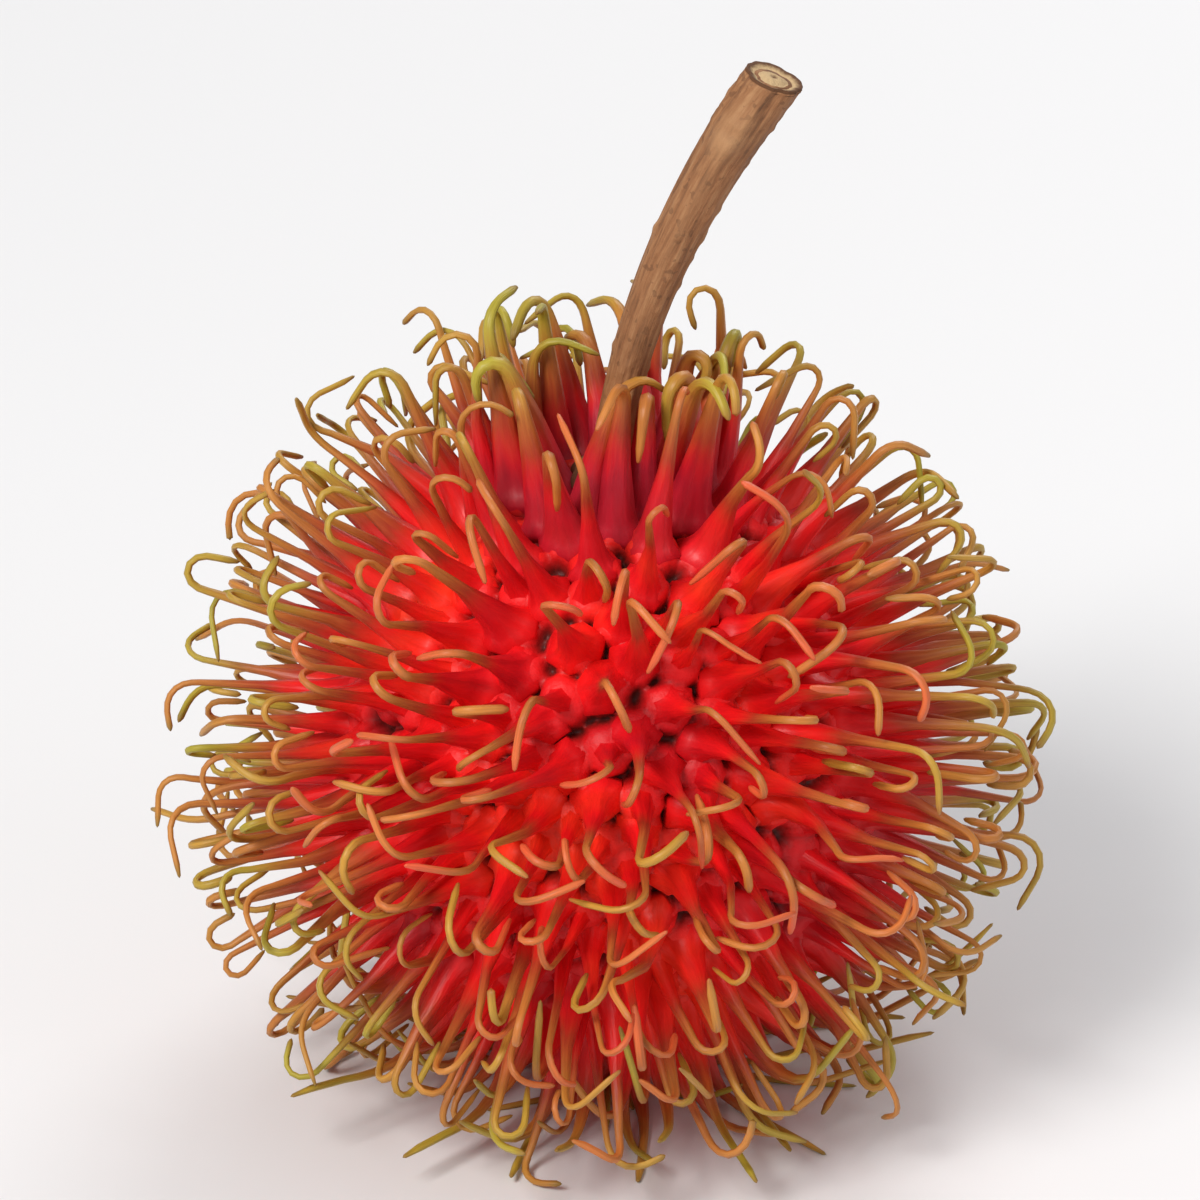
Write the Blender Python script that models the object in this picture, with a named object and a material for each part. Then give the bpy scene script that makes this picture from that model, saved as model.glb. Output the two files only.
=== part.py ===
"""One rambutan with its own stalk, as picked, standing on a table on its pressed hairs.

The fruit is one solid: an egg-shaped skin whose soft hairs are drawn out of it, each from its own
three-cornered patch. The stalk is a second solid, and its foot stands in a seat in the crown.
Metres, +Z up. The table is at Z = 0, and the middle of the fruit is over the origin.
"""

import math

import bmesh
import bpy
import numpy as np

SEED = 5

# Skin without its hairs
SKIN_WIDTH = 0.0370
SKIN_DEPTH = 0.0360
SKIN_HEIGHT = 0.0412
SKIN_LIFT = 0.0042
HALF = np.array([SKIN_WIDTH, SKIN_DEPTH, SKIN_HEIGHT]) / 2
SKIN_MIDDLE = np.array([0.0, 0.0, SKIN_LIFT + SKIN_HEIGHT / 2])
CROWN_HEIGHT = SKIN_LIFT + SKIN_HEIGHT

# Hairs: how many, how long, how thick from root to tip, and how flat
HAIR_COUNT = 340
HAIR_LENGTH = 0.0150
HAIR_LENGTH_SPREAD = 0.0012
ROOT_RADIUS = 0.00140
TIP_RADIUS = 0.00025
TAPER = 4.4
GIRTH_SPREAD = 0.10
MOST_GIRTH_SPREAD = 1.6
MOST_LENGTH_SPREAD = 2.0
CROWN_GIRTH = 0.12
CROWN_TAPER = 3.2
CROWN_UPRIGHT = 1.1
CROWN_REACH = 0.0085
ACROSS_THE_BEND = 1.22
ALONG_THE_BEND = 0.98

# How hairs bend: a straight shaft and a hook, with angles in degrees and shares of the length
LEAN = (0.0, 9.0)
BOW = 24.0
CURL = (150.0, 40.0)
LEAST_CURL = 45.0
MOST_CURL = 215.0
HOOK_START = (0.54, 0.69)
HOOK_SPAN = (0.22, 0.30)
TWIST = 35.0
SWIRL_WAVES = (150.0, 130.0, 190.0)
SWIRL_PHASE = 1.1
SWIRL_TURN = 1.2
SWIRL_SPREAD = 80.0
ROOT_SCATTER = 0.00036
MOST_SCATTER = 1.5
ROOT_SHARE = 0.365

# Hairs near the table are pressed against it and splay outwards
PRESSED_BELOW = 0.0120
PRESSED_CURL = (86.0, 18.0)
PRESSED_START = (0.13, 0.20)
PRESSED_SPAN = 0.58
PRESSED_TWIST = 0.3
PRESSED_SPREAD = 22.0
WIDER_SPREAD = 3.0
LANDING_REACH = 0.0014
LYING_HEIGHT = 0.70
PRESSED_FLAT = 0.00034
SEAT_ROOT = 0.0065
SEAT_LEAN = 38.0
SEAT_CURL = 70.0

# Room between hairs, so that none runs through another, the skin or the stalk
PATH_STEPS = 32
FLARE_END = 0.12
LAST_RING = 4
CORNER_ANGLES = np.radians([-90.0, 30.0, 150.0])
HAIR_GAP = 0.00015
SKIN_GAP = 0.0004
NEIGHBOUR_REACH = 0.034
STALK_CLEARANCE = 1.5
TRIES = 100

# Seat for the stalk in the crown
SEAT_RADIUS = 0.0026
SEAT_DEPTH = 0.0020
SEAT_SIDES = 20
BARE_CROWN = 0.0045
FIT_GAP = 0.0003

# Stalk
STALK_LENGTH = 0.0320
STALK_LEAN = 34.0
STALK_LEAN_RISE = 0.7
STALK_FOOT_RADIUS = SEAT_RADIUS - FIT_GAP
STALK_WAIST_RADIUS = 0.00118
STALK_END_RADIUS = 0.00200
STALK_FOOT_FADE = 0.05
STALK_END_SWELL = 1.3
FOOT_EDGE = 0.0003
CALYX_RADIUS = 0.0028
CALYX_LOBES = 5
CALYX_LOBE_DEPTH = 0.13
CALYX_THICKNESS = 0.0006
CALYX_SHOULDER = 0.0003
CALYX_EDGE = 0.96
STALK_SIDES = 20
STALK_RINGS = 16
STALK_SCARS = ((0.50, 75.0, 0.45), (0.86, 250.0, 0.40))
SCAR_SPAN = 0.055
SCAR_TURN = 38.0
CUT_SLANT = 14.0

SKIN_RED = (0.55, 0.025, 0.022, 1.0)
BARK_BROWN = (0.27, 0.135, 0.065, 1.0)


def unit(vectors):
    """Each vector made one long."""
    return vectors / np.linalg.norm(vectors, axis=-1, keepdims=True)


def hair_sites():
    """Directions from the skin's middle to the hair roots: a spiral from the bare crown down to the
    blossom end, with equal areas for all, and each root moved a little at random."""
    number = np.arange(HAIR_COUNT)
    top = math.sqrt(1 - (BARE_CROWN / HALF[0]) ** 2)
    height = top - (top + 1) * (number + 0.5) / HAIR_COUNT
    around = number * math.pi * (3 - math.sqrt(5))
    ring = np.sqrt(1 - height**2)
    sites = np.stack([ring * np.cos(around), ring * np.sin(around), height], axis=1)
    scatter = np.clip(np.random.default_rng(SEED).normal(size=sites.shape), -MOST_SCATTER, MOST_SCATTER)
    return unit(sites + scatter * ROOT_SCATTER / HALF)


def skin_point(sites):
    """Points of the skin in these directions."""
    return SKIN_MIDDLE + sites * HALF


def skin_normal(sites):
    """The skin's outward normals there."""
    return unit(sites / HALF)


def root_radii(roots):
    """How wide each root may be, so that it stays clear of its nearest neighbour's."""
    apart = np.linalg.norm(roots[:, None] - roots[None], axis=2)
    np.fill_diagonal(apart, 1.0)
    return np.minimum(ROOT_RADIUS, ROOT_SHARE * apart.min(axis=1))


def crown_share(root):
    """How much a hair belongs to the crown: one round the stalk, and soon zero further out."""
    off_axis = math.hypot(root[0], root[1])
    return float(root[2] > SKIN_MIDDLE[2]) * math.exp(-((off_axis / CROWN_REACH) ** 4))


def hair_radius(along, crown=0.0):
    """A hair's mean radius: thick at the root, and slender over its outer half. Crown hairs stay
    thick for longer."""
    taper = TAPER - CROWN_TAPER * crown
    return TIP_RADIUS + (ROOT_RADIUS - TIP_RADIUS) * (1 - along) ** taper


def hair_path(root, outward, bends):
    """Centrelines, headings and side vectors of one hair's trial shapes, a row for each trial.

    A hair leaves the skin along outward. Its angle from there is its lean, plus a bow that grows
    evenly, plus a hook that grows from none to all of the curl between two shares of the length.
    Near the table its descent dies away, so that it lands softly and lies along the table."""
    azimuth, lean, bow, curl, start, span, twist, length = bends
    level = unit(np.cross(outward, [0.0, 0.0, 1.0]) + [1e-9, 0.0, 0.0])
    rise = np.cross(level, outward)
    azimuth = np.radians(azimuth)[:, None]
    bend = np.cos(azimuth) * rise + np.sin(azimuth) * level
    side = np.cross(outward, bend)
    point = np.repeat(root[None], len(bend), axis=0)
    points = [point]
    headings = [np.repeat(outward[None], len(bend), axis=0)]
    sides = [side]
    step = (length / PATH_STEPS)[:, None]
    for number in range(PATH_STEPS):
        along = (number + 0.5) / PATH_STEPS
        hooked = np.clip((along - start) / span, 0, 1)
        hooked = hooked**2 * (3 - 2 * hooked)
        turned = np.radians(lean + bow * along + curl * hooked)[:, None]
        twisted = np.radians(twist * along)[:, None]
        across = np.cos(twisted) * bend + np.sin(twisted) * side
        heading = np.cos(turned) * outward + np.sin(turned) * across
        clear = point[:, 2] - LYING_HEIGHT * hair_radius(along)
        drop = np.maximum(heading[:, 2], -np.maximum(clear, 0) / LANDING_REACH)
        flat = heading[:, :2] + 1e-9 * bend[:, :2]
        flat *= (np.sqrt(1 - drop**2) / np.linalg.norm(flat, axis=1))[:, None]
        heading = np.concatenate([flat, drop[:, None]], axis=1)
        point = point + heading * step
        points.append(point)
        headings.append(heading)
        sides.append(unit(sides[-1] - np.sum(sides[-1] * heading, axis=1, keepdims=True) * heading))
    return np.stack(points, axis=1), np.stack(headings, axis=1), np.stack(sides, axis=1)


def solid_stations(start, span):
    """Shares of a hair's length where its solid has rings: at the root, past the flare, and at the
    start, middle and end of the hook, and the tip. A row for each trial."""
    root, flare, tip = 0 * start, 0 * start + FLARE_END, 0 * start + 1
    return np.stack([root, flare, start, start + span / 2, start + span, tip], axis=1)


def at_stations(values, stations):
    """Rows of a path's values, read between its steps at these shares of the length."""
    place = np.asarray(stations) * PATH_STEPS
    low = np.minimum(place.astype(int), PATH_STEPS - 1)
    share = (place - low)[:, None]
    return values[..., low, :] * (1 - share) + values[..., low + 1, :] * share


def gaps_between(start_a, end_a, radii_a, start_b, end_b, radii_b):
    """Free room between every tapered run of a and every one of b: the nearest distance of the two
    straight centrelines, less both radii there."""
    along_a, along_b = (end_a - start_a)[:, None], (end_b - start_b)[None]
    between = start_a[:, None] - start_b[None]
    aa, bb = np.sum(along_a**2, axis=2), np.sum(along_b**2, axis=2)
    ab = np.sum(along_a * along_b, axis=2)
    a0, b0 = np.sum(along_a * between, axis=2), np.sum(along_b * between, axis=2)
    spread = np.maximum(aa * bb - ab**2, 1e-18)
    on_a = np.clip((ab * b0 - bb * a0) / spread, 0, 1)
    on_b = np.clip((ab * on_a + b0) / bb, 0, 1)
    on_a = np.clip((ab * on_b - a0) / aa, 0, 1)
    apart = between + on_a[..., None] * along_a - on_b[..., None] * along_b
    thick_a = radii_a[:, :1] * (1 - on_a) + radii_a[:, 1:] * on_a
    thick_b = radii_b[None, :, 0] * (1 - on_b) + radii_b[None, :, 1] * on_b
    return np.linalg.norm(apart, axis=2) - thick_a - thick_b


def runs_of(points, radii):
    """A centreline as straight runs, with the radii at both ends of each."""
    return points[:-1], points[1:], np.stack([radii[:-1], radii[1:]], axis=1)


def stalk_lean(along):
    """The stalk's angle from upright, which grows with a power of the distance from the crown."""
    return np.radians(STALK_LEAN) * along**STALK_LEAN_RISE


def stalk_line():
    """The stalk's centreline from the crown, with the sum of short steps along its lean."""
    along = np.linspace(0, 1, STALK_RINGS)
    lean = stalk_lean((along[1:] + along[:-1]) / 2)
    steps = np.stack([np.sin(lean), 0 * lean, np.cos(lean)], axis=1) * STALK_LENGTH / (STALK_RINGS - 1)
    return np.concatenate([[[0, 0, 0]], np.cumsum(steps, axis=0)]) + [0, 0, CROWN_HEIGHT]


def stalk_radius(along):
    """The stalk's radius: wide at the calyx, slim above it and stouter towards the cut end."""
    root = STALK_FOOT_RADIUS - STALK_WAIST_RADIUS
    end = STALK_END_RADIUS - STALK_WAIST_RADIUS
    return STALK_WAIST_RADIUS + root * np.exp(-along / STALK_FOOT_FADE) + end * along**STALK_END_SWELL


def outside_skin(points):
    """How far points lie outside the skin, near enough for points close to it."""
    away = (points - SKIN_MIDDLE) / HALF
    return (np.linalg.norm(away, axis=-1) - 1) * HALF.mean()


def swirl(root):
    """Which way hairs near this root tend to bend, in degrees: it changes slowly over the skin."""
    across, along, up = SWIRL_WAVES
    waves = math.sin(across * root[0] + SWIRL_PHASE) + math.sin(along * root[1] - up * root[2])
    return 180.0 + SWIRL_TURN * math.degrees(waves)


def hair_trials(draw, root, normal, is_seat):
    """One hair's random trials: their paths, their stations and the radii there. Hairs near the
    crown are stouter and more upright, low hairs splay outwards along the table, and the seat hair
    lies across the middle."""
    crown = crown_share(root)
    stouter = float(np.clip(draw.normal(), -MOST_GIRTH_SPREAD, MOST_GIRTH_SPREAD))
    girth = 1 + CROWN_GIRTH * crown + GIRTH_SPREAD * stouter
    azimuth = swirl(root) + draw.normal(0, SWIRL_SPREAD, TRIES)
    lean = draw.uniform(*LEAN, TRIES)
    bow = draw.normal(0, BOW, TRIES)
    curl = np.clip(draw.normal(*CURL, TRIES), LEAST_CURL, MOST_CURL)
    start = draw.uniform(*HOOK_START, TRIES)
    span = draw.uniform(*HOOK_SPAN, TRIES)
    twist = draw.normal(0, TWIST, TRIES)
    longer = np.clip(draw.normal(size=TRIES), -MOST_LENGTH_SPREAD, MOST_LENGTH_SPREAD)
    length = HAIR_LENGTH + HAIR_LENGTH_SPREAD * longer
    outward = unit(normal + [0.0, 0.0, CROWN_UPRIGHT * crown])
    if root[2] < PRESSED_BELOW:
        azimuth = draw.normal(0, PRESSED_SPREAD, TRIES) * np.linspace(1.0, WIDER_SPREAD, TRIES)
        curl = np.clip(draw.normal(*PRESSED_CURL, TRIES), LEAST_CURL, MOST_CURL)
        start = draw.uniform(*PRESSED_START, TRIES)
        span = np.full(TRIES, PRESSED_SPAN)
        twist = twist * PRESSED_TWIST
    if is_seat:
        outward = unit(root - SKIN_MIDDLE)
        azimuth = np.full(TRIES, 180.0)
        lean = np.full(TRIES, SEAT_LEAN)
        curl = np.full(TRIES, SEAT_CURL)
        start = np.full(TRIES, PRESSED_START[0])
        bow = twist = np.zeros(TRIES)
    paths = hair_path(root, outward, (azimuth, lean, bow, curl, start, span, twist, length))
    stations = solid_stations(start, span)
    return paths, stations, hair_radius(stations, crown) * girth


def grow_hairs():
    """Roots, normals and, for every hair, its centreline, headings, side vectors, stations and
    radii there. The hairs are placed one by one from the table up, and each takes the first trial
    that keeps clear of those before it, the skin and the stalk, or else the one with most room."""
    draw = np.random.default_rng(SEED + 1)
    sites = hair_sites()
    roots, normals = skin_point(sites), skin_normal(sites)
    off_axis = np.linalg.norm(roots[:, :2], axis=1)
    low = roots[:, 2] < SKIN_MIDDLE[2]
    seat = int(np.argmin(np.where(low, np.abs(off_axis - SEAT_ROOT), 1.0)))
    order = sorted(range(HAIR_COUNT), key=lambda number: (number != seat, roots[number, 2]))
    stalk_room = stalk_radius(np.linspace(0, 1, STALK_RINGS)) * STALK_CLEARANCE + FIT_GAP
    placed = runs_of(stalk_line(), stalk_room)
    hairs = [None] * HAIR_COUNT
    for number in order:
        root = roots[number]
        paths, stations, radii = hair_trials(draw, root, normals[number], number == seat)
        near = np.linalg.norm(placed[0] - root, axis=1) < NEIGHBOUR_REACH
        neighbours = [part[near] for part in placed]
        best = None
        for trial in range(TRIES):
            line = at_stations(paths[0][trial], stations[trial])
            width = radii[trial] * ACROSS_THE_BEND
            runs = runs_of(line[1:], width[1:])
            shaft, tail = [part[:1] for part in runs], [part[-1:] for part in runs]
            room = gaps_between(*shaft, *tail).min() - HAIR_GAP
            room = min(room, (outside_skin(line[2:]) - width[2:]).min() - SKIN_GAP)
            if near.any():
                room = min(room, gaps_between(*runs, *neighbours).min() - HAIR_GAP)
            if best is None or room > best[0]:
                best = (room, trial, runs)
            if room > 0:
                break
        _, trial, runs = best
        hairs[number] = (*(path[trial] for path in paths), stations[trial], radii[trial])
        placed = [np.concatenate(pair) for pair in zip(placed, runs)]
    return roots, normals, hairs


def hair_corners(point, heading, side, radius):
    """Three corners round a hair's centreline, with a flat side on the outside of its bend."""
    outer = np.cross(heading, side)
    across = ACROSS_THE_BEND * radius * np.cos(CORNER_ANGLES)[:, None] * side
    corners = point + across + ALONG_THE_BEND * radius * np.sin(CORNER_ANGLES)[:, None] * outer
    corners[:, 2] = np.where(corners[:, 2] < PRESSED_FLAT, 0.0, corners[:, 2])
    return corners


def onto_skin(points):
    """Points moved straight towards or away from the skin's middle until they lie on the skin."""
    return skin_point(unit((points - SKIN_MIDDLE) / HALF))


def finish_object(name, bm, colour, roughness):
    """Puts a finished mesh in the scene under its node's name, with its material."""
    bmesh.ops.recalc_face_normals(bm, faces=bm.faces)
    mesh = bpy.data.meshes.new(name)
    bm.to_mesh(mesh)
    bm.free()
    material = bpy.data.materials.new(name)
    material.use_nodes = True
    shader = material.node_tree.nodes["Principled BSDF"]
    shader.inputs["Base Color"].default_value = colour
    shader.inputs["Roughness"].default_value = roughness
    shader.inputs["Metallic"].default_value = 0.0
    mesh.materials.append(material)
    mesh.shade_smooth()
    mesh.set_sharp_from_angle(angle=math.radians(50))
    placed = bpy.data.objects.new(name, mesh)
    bpy.context.scene.collection.objects.link(placed)
    return placed


def seat_rim():
    """The points round the stalk's seat, where it opens in the crown."""
    turn = np.linspace(0, 2 * math.pi, SEAT_SIDES, endpoint=False)
    flat = np.stack([np.cos(turn), np.sin(turn), 0 * turn], axis=1) * SEAT_RADIUS
    height = HALF[2] * math.sqrt(1 - (SEAT_RADIUS / HALF[0]) ** 2)
    return flat + SKIN_MIDDLE + [0.0, 0.0, height]


def make_fruit():
    """The skin is the convex hull of all the hairs' root corners and the seat's rim. Each hair is
    then extruded out of its own root face, ring by ring, and ends in a point. The seat is
    extruded down from the face inside its rim."""
    roots, normals, hairs = grow_hairs()
    bm = bmesh.new()
    corner = bm.verts.layers.int.new("corner")
    rim_layer = bm.verts.layers.int.new("rim")
    for number, width in enumerate(root_radii(roots)):
        foot = hair_corners(roots[number], normals[number], hairs[number][2][0], width)
        for place, at in enumerate(onto_skin(foot)):
            vertex = bm.verts.new(at)
            vertex[corner] = 3 * number + place + 1
    for at in seat_rim():
        bm.verts.new(at)[rim_layer] = 1
    bmesh.ops.convex_hull(bm, input=bm.verts)

    cap = [face for face in bm.faces if all(vertex[rim_layer] for vertex in face.verts)]
    cap = bmesh.ops.dissolve_faces(bm, faces=cap)["region"]
    sunk = bmesh.ops.extrude_discrete_faces(bm, faces=cap)["faces"]
    bmesh.ops.translate(bm, verts=sunk[0].verts, vec=(0, 0, -SEAT_DEPTH))

    faces = []
    for face in bm.faces:
        owners = {(vertex[corner] - 1) // 3 for vertex in face.verts if vertex[corner]}
        if len(face.verts) == 3 and len(owners) == 1 and not any(v[rim_layer] for v in face.verts):
            faces.append(face)
    for place in range(1, LAST_RING + 1):
        faces = bmesh.ops.extrude_discrete_faces(bm, faces=faces)["faces"]
        for face in faces:
            points, headings, sides, stations, radii = hairs[(face.verts[0][corner] - 1) // 3]
            ring = hair_corners(
                at_stations(points, stations)[place],
                unit(at_stations(headings, stations)[place]),
                unit(at_stations(sides, stations)[place]),
                radii[place],
            )
            for vertex in face.verts:
                vertex.co = ring[(vertex[corner] - 1) % 3]
    for face in list(faces):
        number = (face.verts[0][corner] - 1) // 3
        tip = bmesh.ops.poke(bm, faces=[face])["verts"][0]
        tip.co = hairs[number][0][-1]
        tip.co.z = tip.co.z if tip.co.z > PRESSED_FLAT else 0.0
    return finish_object("fruit", bm, SKIN_RED, 0.42)


def ring_of(bm, middle, along, radii):
    """A ring of points round a centreline, square to it, with its own radius at each turn."""
    turn = np.linspace(0, 2 * math.pi, STALK_SIDES, endpoint=False)
    side = np.array([0.0, 1.0, 0.0])
    other = np.cross(side, along)
    offsets = np.cos(turn)[:, None] * other + np.sin(turn)[:, None] * side
    return [bm.verts.new(at) for at in middle + offsets * np.reshape(radii, (-1, 1))]


def scars(along):
    """Swelling of the stalk round its leaf scars, as a share of its radius, at each turn."""
    turn = np.linspace(0, 360, STALK_SIDES, endpoint=False)
    swelling = np.zeros(STALK_SIDES)
    for place, facing, height in STALK_SCARS:
        off = (turn - facing + 180) % 360 - 180
        swelling += height * np.exp(-((off / SCAR_TURN) ** 2) - ((along - place) / SCAR_SPAN) ** 2)
    return swelling


def make_stalk():
    """A foot in the seat, a five-lobed calyx over the crown, and the round stalk up to its cut."""
    bm = bmesh.new()
    up = np.array([0.0, 0.0, 1.0])
    turn = np.linspace(0, 2 * math.pi, STALK_SIDES, endpoint=False)
    lobes = CALYX_RADIUS * (1 + CALYX_LOBE_DEPTH * np.cos(CALYX_LOBES * turn))
    rim_height = SKIN_MIDDLE[2] + HALF[2] * math.sqrt(1 - (SEAT_RADIUS / HALF[0]) ** 2)
    floor = rim_height - SEAT_DEPTH + FIT_GAP
    under = CROWN_HEIGHT + FIT_GAP
    base = [
        (floor, STALK_FOOT_RADIUS - FOOT_EDGE),
        (floor + FOOT_EDGE, STALK_FOOT_RADIUS),
        (under, STALK_FOOT_RADIUS),
        (under, lobes),
        (under + CALYX_THICKNESS, lobes * CALYX_EDGE),
        (under + CALYX_THICKNESS + CALYX_SHOULDER, STALK_FOOT_RADIUS),
    ]
    rings = [ring_of(bm, up * height, up, np.broadcast_to(radius, STALK_SIDES)) for height, radius in base]
    line = stalk_line()
    shares = np.linspace(0, 1, STALK_RINGS)
    for middle, share in zip(line[2:-1], shares[2:-1]):
        lean = stalk_lean(share)
        along = np.array([math.sin(lean), 0.0, math.cos(lean)])
        rings.append(ring_of(bm, middle, along, stalk_radius(share) * (1 + scars(share))))
    lean = stalk_lean(1.0) - math.radians(CUT_SLANT)
    cut = np.array([math.sin(lean), 0.0, math.cos(lean)])
    rings.append(ring_of(bm, line[-1], cut, np.full(STALK_SIDES, STALK_END_RADIUS)))
    for lower, upper in zip(rings, rings[1:]):
        for number in range(STALK_SIDES):
            after = (number + 1) % STALK_SIDES
            bm.faces.new([lower[number], lower[after], upper[after], upper[number]])
    bm.faces.new(rings[0][::-1])
    bm.faces.new(rings[-1])
    return finish_object("stalk", bm, BARK_BROWN, 0.8)


def main():
    for old in list(bpy.data.objects):
        bpy.data.objects.remove(old)
    make_fruit()
    make_stalk()


main()
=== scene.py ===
"""The looks of a rambutan with its own short stalk, built round its packed solids.

The rind is an egg-shaped surface with a mound at each hair's root and pits between them. The main
hairs are tubes along the same curves as the solids' hairs, worked out by the same seeded rule, with
more and rounder rings, and finer hairs stand between them. The stalk, its calyx and its cut end are
surfaces turned round the stalk's own line. Metres, +Z up, with the table at Z = 0.
"""

import math
from types import SimpleNamespace

import bpy
import numpy as np
from bpy.props import FloatProperty, FloatVectorProperty, IntProperty, PointerProperty
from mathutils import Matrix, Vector


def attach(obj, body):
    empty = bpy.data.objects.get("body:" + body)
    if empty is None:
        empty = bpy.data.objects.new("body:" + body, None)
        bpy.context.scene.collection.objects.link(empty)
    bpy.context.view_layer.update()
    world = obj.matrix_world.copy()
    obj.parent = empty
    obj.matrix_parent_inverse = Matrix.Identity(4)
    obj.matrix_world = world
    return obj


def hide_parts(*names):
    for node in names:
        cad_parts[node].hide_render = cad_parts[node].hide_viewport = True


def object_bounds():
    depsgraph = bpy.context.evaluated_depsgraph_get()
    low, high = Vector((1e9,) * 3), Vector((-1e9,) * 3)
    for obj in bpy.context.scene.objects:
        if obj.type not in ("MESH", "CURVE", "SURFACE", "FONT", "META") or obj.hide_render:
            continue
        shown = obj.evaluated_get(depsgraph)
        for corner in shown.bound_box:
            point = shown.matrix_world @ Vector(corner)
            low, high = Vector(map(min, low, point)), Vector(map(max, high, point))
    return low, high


bl_info = {
    "name": "Rambutan",
    "version": (1, 0, 0),
    "blender": (4, 5, 0),
    "location": "View3D > Sidebar > Rambutan",
    "description": "Builds a rambutan with curling hairs and its stalk round its solids",
    "category": "Add Mesh",
}

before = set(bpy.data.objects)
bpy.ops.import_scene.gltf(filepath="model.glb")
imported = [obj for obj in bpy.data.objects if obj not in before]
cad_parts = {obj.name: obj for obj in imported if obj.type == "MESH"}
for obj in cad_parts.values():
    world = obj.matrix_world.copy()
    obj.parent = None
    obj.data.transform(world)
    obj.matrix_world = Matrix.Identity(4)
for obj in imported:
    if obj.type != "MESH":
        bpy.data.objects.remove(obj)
CAD_BOX = [list(corner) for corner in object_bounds()]
PROPERTY_DIGITS = 7
TINY = 1e-9

# The seeded rule of the hairs, as in the solids
SEED = 5
HAIR_LENGTH_SPREAD = 0.0012
TAPER = 4.4
GIRTH_SPREAD = 0.10
MOST_GIRTH_SPREAD = 1.6
MOST_LENGTH_SPREAD = 2.0
CROWN_GIRTH = 0.12
CROWN_TAPER = 3.2
CROWN_UPRIGHT = 1.1
CROWN_REACH = 0.0085
EDGE_POWER = 4
CLEAR_WIDTH = 1.22
LEAN = (0.0, 9.0)
BOW = 24.0
CURL = (150.0, 40.0)
LEAST_CURL = 45.0
MOST_CURL = 215.0
TWIST = 35.0
MAIN_HAIRS = SimpleNamespace(
    girth=1.0, length=1.0, start=(0.54, 0.69), span=(0.22, 0.30), pressed_below=0.0120
)
SWIRL_WAVES = (150.0, 130.0, 190.0)
SWIRL_PHASE = 1.1
SWIRL_TURN = 1.2
SWIRL_SPREAD = 80.0
ROOT_SCATTER = 0.00036
MOST_SCATTER = 1.5
PRESSED_CURL = (86.0, 18.0)
PRESSED_START = (0.13, 0.20)
PRESSED_SPAN = 0.58
PRESSED_TWIST = 0.3
PRESSED_SPREAD = 22.0
WIDER_SPREAD = 3.0
LANDING_REACH = 0.0014
LYING_HEIGHT = 0.70
SEAT_ROOT = 0.0065
SEAT_LEAN = 38.0
SEAT_CURL = 70.0
PATH_STEPS = 32
FLARE_END = 0.12
HAIR_GAP = 0.00015
SKIN_GAP = 0.0004
NEIGHBOUR_REACH = 0.034
STALK_CLEARANCE = 1.5
TRIES = 100
BARE_CROWN = 0.0045
FIT_GAP = 0.0003
STALK_LEAN_RISE = 0.7
STALK_FOOT_FADE = 0.05
STALK_END_SWELL = 1.3
STALK_SOLID_RINGS = 16

# Finer hairs between those of the solids, with wider hooks
FINE_HAIRS = SimpleNamespace(
    girth=0.58, length=0.95, start=(0.50, 0.64), span=(0.28, 0.36), pressed_below=0.0085
)
FINE_SPOTS = 3000
FINE_BARE_CROWN = 0.0038
FINE_ROOM = 0.00185
FINE_SPACING = 0.00230

# Relief of the rind: a mound at each root, a pit between every three, and the stalk's pit
RIND_AROUND = 330
RIND_DOWN = 250
POINT_BLOCKS = 60
MOUND_HEIGHT = 0.00080
MOUND_REACH = 0.00165
CREASE_DEPTH = 0.00018
CREASE_REACH = 0.00040
PIT_DEPTH = 0.00120
PIT_REACH = 0.00085
PIT_FROM = (0.0014, 0.0019)
STALK_PIT_DEPTH = 0.0016
STALK_PIT_REACH = 0.0026
# The share of the pits' painted shade that the creases between two roots take
CREASE_SHADE = 0.4

# Rings and sections of a hair
HAIR_SIDES = 6
FLARE_RINGS = (0.0, 0.035, 0.075, 0.12)
HOOK_RINGS = 7
TIP_RINGS = (0.6, 0.96)
HAIR_FLARE = 0.00050
FLARE_REACH = 0.032
ROOT_SINK = 0.0009
HAIR_ACROSS = 1.12
HAIR_ALONG = 0.90
TIP_END = 0.55
TIP_POINT = 0.00012
TABLE_CLEAR = 0.00004
GRAIN_STRETCH = 2.2
GRAIN_SHIFT = 40.0
# Painted light: the way that the skin faces where hooks are painted a brighter orange, towards the
# camera and the key light, and the facings over which it fades in
LIT_SIDE_WAY = (0.05, -0.92, 0.38)
LIT_SIDE_FADE = (0.40, 0.92)

# Relief of the bark, in shares of the stalk's radius and length
STALK_ROWS = 220
STALK_COLUMNS = 64
BARK_RIDGES = (3, 5, 8, 13)
RIDGE_HEIGHT = 0.055
RIDGE_WANDER = 8.0
WRINKLE_HEIGHT = 0.012
WRINKLE_PITCH = 190.0
WRINKLE_WAVES = 2
WRINKLE_PLACE = 0.93
WRINKLE_REACH = 0.10
STALK_SCARS = ((0.50, 75.0, 0.40), (0.86, 250.0, 0.36))
SCAR_TURN = 36.0
SCAR_SPAN = 0.052
SCAR_HOLLOW = 0.16
HOLLOW_TURN = 20.0
HOLLOW_SHIFT = 0.012
HOLLOW_SPAN = 0.016
PORE_COUNT = 70
PORE_FROM = 0.08
PORE_HEIGHT = 0.07
PORE_TURN = 0.16
PORE_SPAN = 0.012
SMOOTH_FOOT = 0.06
SLANT_FROM = 0.93
STALK_SINK = 0.0011
BARK_STRETCH = (2.0, 2.0, 3.5)

# The cut end: how far its rings reach, how they dish, and how deep its back lies
CUT_RINGS = 18
CUT_REACH = 0.985
CUT_RISE = 0.00010
CUT_DISH = 0.00012
CUT_WAVES = 2.5
CUT_DEPTH = 0.0004

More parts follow.
